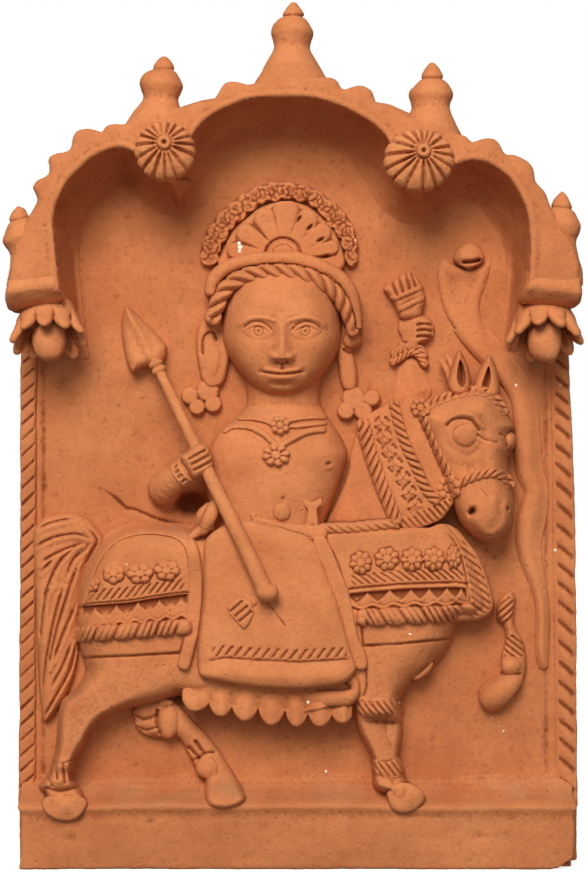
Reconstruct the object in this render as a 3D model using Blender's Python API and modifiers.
"""Terracotta votive relief plaque: a fired clay slab with a plinth, a cusped arch on two flower capitals,
five turned finials, and an appliqued rider on a caparisoned horse with a cobra behind.

Frame: metres, +Z up, the relief faces -Y. The origin is at the middle of the plinth's underside. Every clay piece is a separate solid. Pieces that are luted together keep a slip joint of about 0.3 mm.

Outlines are drawn on a working grid of 588 by 875 units, u to the right and v down. One unit is UNIT at the slab's face.
w is the height above the slab's face in the same units. The drawing is made as seen from EYE in front of the slab,
so an outline drawn at height w is reduced by the factor (1 - w * UNIT / EYE) about the drawing's centre.
"""

import math

import bmesh
import bpy
from mathutils import Vector

# ---- driving dimensions -------------------------------------------------------------------------------------------
UNIT = 0.000543          # one drawing unit at the slab's face: gives a plaque about 461 mm (18 in) high
EYE = 1.0                # distance the drawing is seen from
CENTRE_U, CENTRE_V = 294.0, 437.5
EYE_HEIGHT = 0.2300      # height of the drawing's centre above the base
SLAB_FACE_Y = 0.011      # the slab's front face: the plinth runs from +11 mm to -11 mm about the origin
SLAB_THICK = 33.0        # 18 mm slab
SLIP = 0.6               # slip joint between luted pieces, 0.33 mm
PLINTH_W = 40.0          # the plinth stands 22 mm in front of the slab
PLINTH_TOP_V, BASE_V = 812.0, 870.5
ARCH_W = 88.0            # the arch stands 48 mm in front of the slab
CAPITAL_W = 92.0
BODY_W = 46.0            # horse's barrel and rider's chest, 25 mm
CLOTH_W = 53.0           # saddle cloths, 4 mm thick on the barrel
SKIRT_W = 66.0           # the rider's skirt over the saddle blanket
HEAD_W = 70.0            # horse's head
G0, G1, G2, GA = 0.0, 40.0, 60.0, 80.0   # heights at which each layer's outlines are drawn

CLAY = (0.52, 0.19, 0.075)
CLAY_PALE = (0.56, 0.22, 0.09)
CLAY_DEEP = (0.45, 0.15, 0.06)


# ---- scene -------------------------------------------------------------------------------------------------------
for old in list(bpy.data.objects):
    bpy.data.objects.remove(old, do_unlink=True)

PARTS = bpy.data.collections.new("terracotta_relief_plaque")
CUTTERS = bpy.data.collections.new("cutters")
bpy.context.scene.collection.children.link(PARTS)
bpy.context.scene.collection.children.link(CUTTERS)
ROOT = bpy.data.objects.new("plaque_frame", None)
PARTS.objects.link(ROOT)


def clay(name, colour, roughness=0.9):
    found = bpy.data.materials.get(name)
    if found:
        return found
    made = bpy.data.materials.new(name)
    made.use_nodes = True
    shader = made.node_tree.nodes["Principled BSDF"]
    shader.inputs["Base Color"].default_value = (*colour, 1.0)
    shader.inputs["Roughness"].default_value = roughness
    shader.inputs["Metallic"].default_value = 0.0
    return made


SLAB_CLAY = clay("terracotta_slab", CLAY)
RELIEF_CLAY = clay("terracotta_relief", CLAY_PALE)
DEEP_CLAY = clay("terracotta_ornament", CLAY_DEEP)


# ---- drawing to space ----------------------------------------------------------------------------------------------
def shrink(w):
    return 1.0 - w * UNIT / EYE


def flat(u, v, drawn):
    """A drawing point as (x, z) in metres, for an outline drawn at height `drawn`."""
    s = UNIT * shrink(drawn)
    return (u - CENTRE_U) * s, EYE_HEIGHT + (CENTRE_V - v) * s


def depth(w):
    """World y of height w above the slab's face."""
    return SLAB_FACE_Y - w * UNIT


def point(u, v, w, drawn):
    x, z = flat(u, v, drawn)
    return Vector((x, depth(w), z))


def rounded(points, per=3, closed=True):
    """A smooth line through the points: a Catmull-Rom curve with `per` steps a span."""
    n = len(points)
    made = []
    for i in range(n if closed else n - 1):
        if closed:
            p = [points[(i + k) % n] for k in (-1, 0, 1, 2)]
        else:
            p = [points[min(max(i + k, 0), n - 1)] for k in (-1, 0, 1, 2)]
        for j in range(per):
            t = j / per
            made.append(tuple(
                0.5 * (2 * b + (c - a) * t + (2 * a - 5 * b + 4 * c - d) * t * t + (3 * b - a - 3 * c + d) * t ** 3)
                for a, b, c, d in zip(*p)
            ))
    if not closed:
        made.append(tuple(points[-1]))
    return made


# ---- kinds of piece --------------------------------------------------------------------------------------------------
def place(obj, material, collection=PARTS):
    collection.objects.link(obj)
    obj.parent = ROOT
    if obj.data.materials:
        obj.data.materials[0] = material
    else:
        obj.data.materials.append(material)
    if collection is CUTTERS:
        obj.hide_render = True
        obj.display_type = "WIRE"
    return obj


def solid_of(name, curve):
    """The curve's surface as one welded mesh that faces out."""
    guide = bpy.data.objects.new(name + "_outline", curve)
    mesh = bpy.data.meshes.new_from_object(guide)
    bpy.data.objects.remove(guide)
    mesh.name = name
    bm = bmesh.new()
    bm.from_mesh(mesh)
    bmesh.ops.remove_doubles(bm, verts=bm.verts, dist=0.000002)
    bmesh.ops.recalc_face_normals(bm, faces=bm.faces)
    bm.to_mesh(mesh)
    bm.free()
    return bpy.data.objects.new(name, mesh)


def plate(name, outline, w0, w1, drawn, edge=2.0, per=2, material=RELIEF_CLAY, steps=0):
    """A slab of clay cut to an outline, standing from height w0 to w1, with its edges rounded over by `edge`."""
    pts = rounded(outline, per) if per > 1 else outline
    curve = bpy.data.curves.new(name, "CURVE")
    curve.dimensions = "2D"
    curve.fill_mode = "BOTH"
    s = UNIT * shrink(drawn)
    edge_m = edge * UNIT
    curve.bevel_depth = edge_m
    curve.bevel_resolution = steps
    curve.offset = -edge_m
    curve.extrude = (w1 - w0) * UNIT / 2 - edge_m
    spline = curve.splines.new("POLY")
    spline.points.add(len(pts) - 1)
    for p, (u, v) in zip(spline.points, pts):
        p.co = ((u - CENTRE_U) * s, (CENTRE_V - v) * s, 0.0, 1.0)
    spline.use_cyclic_u = True
    obj = solid_of(name, curve)
    obj.rotation_euler = (math.pi / 2, 0.0, 0.0)
    obj.location = (0.0, depth((w0 + w1) / 2), EYE_HEIGHT)
    return place(obj, material)


def coil(name, path, radius, drawn, per=3, material=RELIEF_CLAY, sides=2, radii=None):
    """A rolled coil of clay along a path of (u, v, w), `radius` thick."""
    pts = rounded([(*p, r) for p, r in zip(path, radii or [1.0] * len(path))], per, closed=False)
    curve = bpy.data.curves.new(name, "CURVE")
    curve.dimensions = "3D"
    curve.bevel_depth = radius * UNIT
    curve.bevel_resolution = sides
    curve.use_fill_caps = True
    spline = curve.splines.new("POLY")
    spline.points.add(len(pts) - 1)
    for p, (u, v, w, r) in zip(spline.points, pts):
        p.co = (*point(u, v, w, drawn), 1.0)
        p.radius = r
    return place(solid_of(name, curve), material)


def turned(name, profile, centre, drawn, facing=False, steps=20, material=DEEP_CLAY):
    """A turned piece: profile of (radius, height) in drawing units from top to bottom, spun about its axis.
    The axis stands up, or points to the viewer where `facing` is set."""
    mesh = bpy.data.meshes.new(name)
    s = UNIT * shrink(drawn)
    verts = [(r * s, 0.0, h * s) for r, h in profile]
    mesh.from_pydata(verts, [(i, i + 1) for i in range(len(verts) - 1)], [])
    obj = bpy.data.objects.new(name, mesh)
    screw = obj.modifiers.new("turn", "SCREW")
    screw.axis = "Z"
    screw.steps = screw.render_steps = steps
    screw.use_merge_vertices = True
    screw.merge_threshold = 0.00002
    screw.use_smooth_shade = True
    obj.location = point(*centre, drawn)
    if facing:
        obj.rotation_euler = (math.pi / 2, 0.0, 0.0)
    return place(obj, material)


def dome(name, centre, radii, cut_w, drawn, material=RELIEF_CLAY, segments=20, rings=12, tilt=0.0):
    """A rounded mass of clay, cut flat at height cut_w where it is luted down."""
    bm = bmesh.new()
    bmesh.ops.create_uvsphere(bm, u_segments=segments, v_segments=rings, radius=1.0)
    s = UNIT * shrink(drawn)
    bmesh.ops.scale(bm, vec=(radii[0] * s, radii[2] * UNIT, radii[1] * s), verts=bm.verts)
    mesh = bpy.data.meshes.new(name)
    obj = bpy.data.objects.new(name, mesh)
    obj.location = point(*centre, drawn)
    obj.rotation_euler = (0.0, tilt, 0.0)
    if cut_w is not None:
        cut = (centre[2] - cut_w) * UNIT
        made = bmesh.ops.bisect_plane(
            bm, geom=bm.verts[:] + bm.edges[:] + bm.faces[:], plane_co=(0, cut, 0), plane_no=(0, 1, 0), clear_outer=True
        )
        rim = [e for e in made["geom_cut"] if isinstance(e, bmesh.types.BMEdge)]
        bmesh.ops.contextual_create(bm, geom=rim)
    bmesh.ops.recalc_face_normals(bm, faces=bm.faces)
    bm.to_mesh(mesh)
    bm.free()
    mesh.shade_smooth()
    return place(obj, material)


def block(name, u0, u1, z0, z1, w0, w1, drawn, edge=1.5, material=SLAB_CLAY):
    """A squared block between two drawing columns and two heights z in metres, with rounded edges."""
    x0, x1 = flat(u0, 0, drawn)[0], flat(u1, 0, drawn)[0]
    bm = bmesh.new()
    bmesh.ops.create_cube(bm, size=1.0)
    bmesh.ops.scale(bm, vec=(x1 - x0, (w1 - w0) * UNIT, z1 - z0), verts=bm.verts)
    mesh = bpy.data.meshes.new(name)
    bm.to_mesh(mesh)
    bm.free()
    obj = bpy.data.objects.new(name, mesh)
    obj.location = ((x0 + x1) / 2, depth((w0 + w1) / 2), (z0 + z1) / 2)
    bevel = obj.modifiers.new("rounded_edges", "BEVEL")
    bevel.width = edge * UNIT
    bevel.segments = 2
    return place(obj, material)


def bored(obj, a, b, radius, drawn):
    """Bores a straight hole through a piece, from a to b."""
    pa, pb = point(*a, drawn), point(*b, drawn)
    bm = bmesh.new()
    bmesh.ops.create_cone(bm, cap_ends=True, segments=16, radius1=radius * UNIT, radius2=radius * UNIT, depth=(pb - pa).length)
    mesh = bpy.data.meshes.new(obj.name + "_bore")
    bm.to_mesh(mesh)
    bm.free()
    cutter = bpy.data.objects.new(obj.name + "_bore", mesh)
    cutter.location = (pa + pb) / 2
    cutter.rotation_mode = "QUATERNION"
    cutter.rotation_quaternion = (pb - pa).to_track_quat("Z", "Y")
    place(cutter, DEEP_CLAY, CUTTERS)
    cut = obj.modifiers.new("bore", "BOOLEAN")
    cut.operation = "DIFFERENCE"
    cut.object = cutter


# ---- slab, plinth, pilasters ----------------------------------------------------------------------------------------
BASE_TOP = flat(0, PLINTH_TOP_V, PLINTH_W)[1]
BASE_V_AT_SLAB = CENTRE_V + EYE_HEIGHT / UNIT       # the drawing row where the slab meets the ground

plate("back_slab", [
    (20, BASE_V_AT_SLAB), (19, 600), (20, 330), (26, 250), (48, 190), (78, 160), (118, 138), (160, 126), (200, 118), (245, 104),
    (294, 98), (342, 105), (388, 120), (430, 136), (470, 152), (503, 170), (530, 200), (552, 245), (567, 330), (573, 600),
    (575, BASE_V_AT_SLAB),
], -SLAB_THICK, 0.0, G0, edge=1.0, per=1, material=SLAB_CLAY)
block("plinth", 16, 579, 0.0, BASE_TOP, SLIP, PLINTH_W, PLINTH_W)
LEDGE_V = CENTRE_V + (EYE_HEIGHT - BASE_TOP) / UNIT - SLIP
for side, u0, u1 in (("left", 21.0, 37.0), ("right", 553.0, 573.0)):
    lean = -2.0 if side == "left" else 1.0
    plate(side + "_pilaster", [(u0, 373), (u1, 373), (u1 + lean, LEDGE_V), (u0 + lean, LEDGE_V)], SLIP, 8.0, G0, edge=1.5, per=1, material=SLAB_CLAY)

# ---- arch -------------------------------------------------------------------------------------------------------------
OUTER = [
    (8, 277.4), (9, 270), (11, 252), (32.5, 252), (32.5, 214), (36, 196), (32, 186), (42, 177), (48, 168), (48, 157), (60, 151),
    (69, 147), (73, 133), (85, 128), (99, 131), (110, 124), (126, 122), (189.5, 122), (190, 103), (197, 100.5), (212, 98), (223, 84),
    (235, 80), (247, 83), (257, 78.5), (327, 78.5), (336, 79), (345, 87), (358, 84), (371, 89), (377, 101), (390, 105), (404, 114), (405, 133.5), (461, 133.5),
    (472, 141), (486, 137), (500, 142), (507, 153), (526, 158), (535, 170), (540, 187), (547, 203), (547, 252), (579, 252), (582, 268), (580, 277.4),
]
INNER = [
    (528, 277.4), (529, 258), (530, 228), (525, 204), (514, 184), (500, 171), (482, 162), (464, 163), (446, 174), (428, 184), (410, 174), (392, 152),
    (380, 131), (360, 115), (335, 103), (294, 96.5), (255, 98), (225, 108), (202, 125), (190, 146), (176, 168), (161, 177), (147, 166), (132, 153), (115, 147.5), (98, 154),
    (80, 169), (66, 187), (56, 207), (54, 232), (56, 262), (57, 277.4),
]
plate("arch_hood", OUTER + INNER, SLIP, ARCH_W, GA, edge=1.5, per=1, material=SLAB_CLAY)


def finial(name, u, tip_v, base_v, neck, bulge, foot, axis=54.0, drawn=GA):
    """A turned pot finial: pointed knob, lip, neck and a flared foot."""
    h = base_v - tip_v
    turned(name, [
        (0, 0), (0.35 * bulge, -0.08 * h), (0.55 * bulge, -0.22 * h), (0.5 * bulge, -0.25 * h), (0.72 * bulge, -0.28 * h),
        (bulge, -0.42 * h), (0.97 * bulge, -0.47 * h), (neck, -0.62 * h), (0.5 * (neck + foot), -0.82 * h), (foot, -h), (0, -h),
    ], (u, tip_v, axis), drawn, steps=18)


finial("crown_finial", 293, 2, 78, 18, 21, 33)
finial("upper_left_finial", 161, 57, 121.4, 19, 21.5, 27)
finial("upper_right_finial", 432, 63, 133, 19, 21.5, 27)
finial("lower_left_finial", 17, 206, 251.4, 9, 14, 13, axis=66.0)
finial("lower_right_finial", 564, 190, 251.4, 12, 16, 15, axis=66.0)
for side, u, v, r in (("left", 165, 144, 31), ("right", 422, 154, 34)):
    turned(side + "_rosette", [(0, 16), (4, 16), (6, 13), (0.9 * r, 8), (r, 4), (0.96 * r, 0), (0, 0)], (u, v, ARCH_W + SLIP), GA, facing=True, steps=24)

# ---- flower capitals ---------------------------------------------------------------------------------------------------
for side, u0, u1, u in (("left", 4, 60, 47), ("right", 524, 583, 547)):
    top = flat(0, 278, GA)[1]
    low = flat(0, 304, GA)[1]
    block(side + "_capital_moulding", u0, u1, low, top, SLIP, CAPITAL_W, GA, edge=5.0)
    turned(side + "_capital_flower", [(0, 0), (15, 0), (26, -9), (32, -22), (35, -38), (32, -38), (28, -24), (20, -13), (9, -6), (0, -6)], (u, 304.6, 48), GA, steps=20)
    turned(side + "_capital_bud", [(0, -6.6), (8, -8), (13, -16), (16.5, -28), (15, -38), (9, -46), (0, -48)], (u, 304.6, 48), GA, steps=16)

# ---- rider ----------------------------------------------------------------------------------------------------------------
plate("rider_torso", [
    (248, 399), (284, 399), (316, 399), (321, 418), (341, 433), (347, 455), (340, 488), (328, 518), (322, 534), (290, 536), (256, 536),
    (238, 528), (230, 503), (225, 480), (220, 460), (215, 443), (224, 429), (243, 419),
], SLIP, BODY_W, G1, edge=9.0, steps=1)
dome("rider_head", (282, 339, 3), (59, 57.5, 57), SLIP, G1, segments=24, rings=16)
plate("turban_band", [
    (208, 316), (209, 300), (222, 279), (248, 261), (285, 255), (320, 263), (344, 286), (356, 315), (358, 333), (345, 333),
    (340, 314), (325, 293), (303, 282), (280, 279.5), (256, 282), (237, 291), (225, 306), (221, 316),
], SLIP, 46.0, G1, edge=4.0)
plate("crown", [
    (226, 263), (238, 234), (257, 213), (284, 202), (312, 211), (330, 236), (338, 262), (334, 268), (318, 258), (285, 250), (250, 256), (230, 268),
], SLIP, 36.0, G1, edge=3.0)
plate("halo_roll", [
    (201, 256), (209, 232), (231, 204), (261, 187), (290, 182), (321, 190), (346, 213), (358, 244), (355, 263), (344, 260),
    (337, 232), (317, 206), (285, 197), (252, 207), (231, 231), (218, 258), (207, 265),
], SLIP, 18.0, G1, edge=3.0)
plate("left_ear", [(201, 340), (205, 325), (213, 319.5), (219, 322), (219, 350), (219, 381), (211, 384), (203, 380), (201, 360)], SLIP, 14.0, G1, edge=2.0)
plate("right_ear", [(346, 340), (354, 339), (358, 345), (356, 365), (352, 389), (346, 388), (344, 365)], SLIP, 14.0, G1, edge=2.0)
plate("left_earring", [(183, 399), (190, 390), (201, 386.5), (212, 387), (221, 394), (222, 403), (214, 411), (206, 408), (197, 415), (190, 407)], SLIP, 16.0, G1, edge=2.0)
plate("right_earring", [(339, 402), (345, 394), (357, 392.5), (367, 397), (378, 402), (372, 409), (366, 418), (357, 420.5), (350, 416), (341, 416)], SLIP, 16.0, G1, edge=2.0)
plate("necklace_collar", [
    (224, 427), (246, 422), (279, 426), (316, 419), (322, 426), (303, 430), (286, 438), (277, 441), (268, 437), (254, 431), (234, 430),
], BODY_W + SLIP, 51.0, G1, edge=1.2)
turned("necklace_pendant", [(0, 7), (3, 7), (10, 4.5), (12, 2), (11.5, 0), (0, 0)], (276, 455, BODY_W + SLIP), G1, facing=True, steps=16)
SPEAR_A, SPEAR_B = (152, 360, 29), (263, 591, 76.5)
coil("spear_shaft", [SPEAR_A, (189, 437, 44.8), (226, 514, 60.7), (256, 576.5, 73.5), (260, 585, 76.4), (264, 594, 77.2)], 7.0, G2, per=1, sides=3, radii=[1, 1, 1, 1, 1.35, 1.0])
plate("spear_head", [
    (123, 307), (132, 315), (150, 332), (166, 347), (163, 362), (150, 364), (140, 371), (129, 370), (125, 355), (122, 330),
], SLIP, 20.0, G1, edge=3.0)
fist = dome("right_fist", (200, 461, 49.8), (16, 15, 17), None, G2, segments=18, rings=12)
bored(fist, (177, 413, 39.5), (225, 512, 60.2), 7.7, G2)
coil("right_arm", [(160, 495, 14.5), (164, 490, 24), (171, 484, 33), (179, 477.5, 38), (187.5, 470.5, 42.5)], 13.0, G2, per=2, sides=3, radii=[1, 1.05, 0.93, 0.72, 0.69])
bangle = coil("right_bangle", [(181.5, 475.6, 39.4), (185.5, 472.4, 41.6)], 14.0, G2, per=1, sides=3)
bored(bangle, (171, 484, 33.6), (196, 464, 47.4), 10.6, G2)
plate("left_forearm", [(401, 366.5), (420, 366.5), (428, 381), (418, 392), (404, 394), (397, 384)], SLIP, 14.0, G1, edge=2.0)
plate("left_hand", [(402, 318), (416, 317), (428, 325), (434, 338), (425, 350), (425, 361), (395, 361), (394, 354), (402, 343), (399, 330)], SLIP, 18.0, G1, edge=2.0)
plate("lotus_bud", [(384, 288), (392, 277), (408, 271), (418, 278), (423, 288), (419, 301), (414, 314), (402, 314), (395, 303)], SLIP, 16.0, G1, edge=2.0)
plate("waist_sash", [(252, 513), (263, 502), (290, 506), (320, 519), (325, 529), (314, 533), (290, 527), (268, 521)], BODY_W + SLIP, 52.6, G1, edge=1.5)
skirt = plate("tunic_skirt", [
    (206, 548), (222, 536), (252, 521), (275, 525), (300, 533), (314, 541), (322, 571), (333, 606), (345, 645), (352, 665), (349, 677),
    (336, 684), (300, 689), (260, 687), (220, 682), (203, 677), (197, 667), (200, 630), (204, 590),
], CLOTH_W + SLIP, SKIRT_W, G2, edge=2.5)
bored(skirt, (137, 328.8, 22.6), SPEAR_B, 7.8, G2)
plate("rider_foot", [(228, 613), (239, 603), (250, 604), (260, 609), (250, 617), (244, 628), (235, 622)], SKIRT_W + SLIP, 71.0, G2, edge=1.2)

# ---- horse ----------------------------------------------------------------------------------------------------------------
plate("horse_body", [
    (80, 600), (85, 576), (97, 552), (118, 532), (150, 524), (190, 530), (235, 538), (290, 538), (328, 537), (365, 533), (400, 531), (438, 530),
    (462, 541), (479, 566), (490, 592), (492, 612), (481, 622), (462, 627), (448, 641), (438, 657), (421, 671), (408, 686), (401, 699.5), (356, 699.5),
    (330, 698), (290, 699), (250, 698), (210, 693), (178, 694), (146, 703), (115, 710), (101, 693.5), (87, 676), (80, 650), (78, 625),
], SLIP, BODY_W, G1, edge=12.0, steps=1)
plate("horse_neck", [
    (331, 526), (341, 496), (351, 462), (354, 441), (364, 423), (386, 407), (407, 400), (411, 413), (422, 441), (434, 470), (445, 496),
    (449, 507), (444, 517), (434, 525), (400, 527.5), (362, 529.5),
], SLIP, 42.0, G1, edge=5.0)
plate("horse_head", [
    (415, 409), (431, 402), (450, 394), (470, 391.5), (489, 401), (503, 416), (512, 427), (512, 440), (509, 455), (509, 474), (512, 492),
    (511, 514), (507, 531), (495, 541), (482, 542), (468, 535), (456, 520), (450.5, 503), (438, 471), (426, 442),
], SLIP, HEAD_W, G1, edge=6.0, steps=1)
plate("horse_near_ear", [(452, 389), (453, 366), (459, 351), (465, 360), (469, 376), (470, 389.5)], SLIP, 44.0, G1, edge=2.0)
plate("horse_far_ear", [(480, 390), (484, 371), (490, 358), (495, 376), (496, 398), (488, 394)], SLIP, 34.0, G1, edge=2.0)
coil("bridle", [
    (498, 422, 76.4), (487, 407, 76.4), (468, 399, 76.4), (445, 403, 76.4), (427, 411, 76.4), (429, 428, 76.4), (438, 452, 76.4), (449, 478, 76.4), (458, 491, 76.4),
    (474, 485, 76.4), (490, 479, 76.4), (503, 480, 76.4),
], 5.5, G1, per=2)
plate("mane_band", [(367, 430), (386, 413), (397, 407), (405, 430), (415, 460), (426, 490), (435, 508), (420, 520), (398, 522), (385, 490), (374, 457)], 42.0 + SLIP, 50.0, G1, edge=2.0)
plate("near_hind_leg", [
    (85.5, 680), (99.5, 698), (113, 714), (98, 725), (87, 741), (79, 760), (74, 779), (82, 790), (88, 799), (82, 808), (64, 809.5), (46, 806), (39, 793), (40, 784), (48, 773),
    (54, 757), (58, 738), (57, 714), (64, 696),
], SLIP, 54.0, G1, edge=5.0, steps=1)
plate("far_hind_leg", [
    (137, 718), (148, 713), (163, 709), (178, 704), (190, 705), (200, 714), (208, 724), (220, 743), (234, 766), (246, 790), (242, 806), (222, 809.5), (205, 805), (202, 785),
    (194, 762), (184, 744), (174, 738), (160, 738), (146, 735), (138, 728),
], SLIP, 22.0, G1, edge=4.0)
plate("near_fore_leg", [
    (357.5, 702.5), (380, 702.5), (400, 702.5), (400, 722), (400, 745), (403, 762), (406, 780), (419, 789), (424, 799), (414, 809), (396, 809.5), (386, 803), (385, 794),
    (374, 791), (371, 778), (370, 757), (364, 733),
], SLIP, 48.0, G1, edge=4.0, steps=1)
plate("far_fore_leg", [
    (495, 600), (508, 596), (519, 603), (524, 630), (524, 664), (520, 688), (507, 704), (492, 710), (481, 702), (478, 689), (488, 678), (497, 668), (501, 645), (501, 626),
], SLIP, 22.0, G1, edge=4.0)
plate("horse_tail", [
    (93, 550), (84, 533), (73, 519), (58, 516), (46, 523), (41, 545), (41, 600), (40, 650), (40, 692), (44, 715), (52, 709), (62, 688), (71, 663), (76.5, 643), (75, 622), (76, 597), (80, 575),
], SLIP, 24.0, G1, edge=3.0)
plate("rear_cloth", [(83, 592), (92, 572), (108, 551), (130, 540), (156, 538.5), (172, 544.5), (181.5, 558), (185, 585), (185, 613), (132, 618), (80, 622), (80, 606)], BODY_W + SLIP, CLOTH_W, G1, edge=2.0)
coil("rear_fringe_roll", [(77, 632.5, 55.8), (130, 630, 55.8), (187, 625.5, 55.8)], 9.0, G1, per=4)
coil("rear_girth_band", [
    (88, 566, 51.6), (100, 548, 51.6), (122, 535, 51.6), (150, 531, 51.6), (178, 535, 51.6), (191.5, 546, 51.6), (194.5, 580, 51.6), (194, 614, 51.6),
], 4.8, G1, per=2)
plate("front_cloth", [
    (336, 541), (390, 535), (440, 533), (461, 545), (477, 568), (488, 593), (490, 611), (482, 618), (474, 606), (410, 606), (356, 606), (349, 590), (342, 562),
], BODY_W + SLIP, CLOTH_W, G1, edge=2.0)
coil("front_fringe_roll", [(362, 617.5, 56.8), (415, 617, 56.8), (468, 617, 56.8)], 9.6, G1, per=4)
coil("front_girth_band", [(325, 546, 51.6), (336, 590, 51.6), (349, 632, 51.6), (357, 661, 51.6)], 4.8, G1, per=3)
SCALLOPS = [(183, 690), (195, 712), (207, 704), (221, 716), (231, 708), (246, 721), (258, 711), (271, 727), (283, 713), (296, 727), (309, 713), (321, 727), (333, 715), (345, 724), (352, 716)]
plate("saddle_blanket", [(352, 672), (343, 671), (330, 622), (314, 560), (300, 546), (255, 544), (212, 552), (206, 600), (202, 640), (199, 664), (188, 678)] + SCALLOPS + [(359, 700), (360, 684)], BODY_W + SLIP, CLOTH_W, G1, edge=1.5, per=1)
plate("cobra", [
    (439, 267), (446, 258), (458, 248), (468, 243), (478, 248), (487, 261), (485, 278), (480, 297), (482, 316), (491, 337), (506, 358), (521, 380), (528, 405), (532, 440),
    (534, 475), (533, 500), (536, 525), (540, 560), (546, 600), (549, 640), (548.5, 662), (543, 671), (537, 661), (534, 637), (530, 608), (524, 578), (519, 550), (518, 525), (522, 500), (521, 470), (518, 440),
    (512, 414), (504, 394), (500, 374), (494, 360.5), (478, 346), (462, 332), (450, 312), (443, 290),
], SLIP, 14.0, G1, edge=2.0)
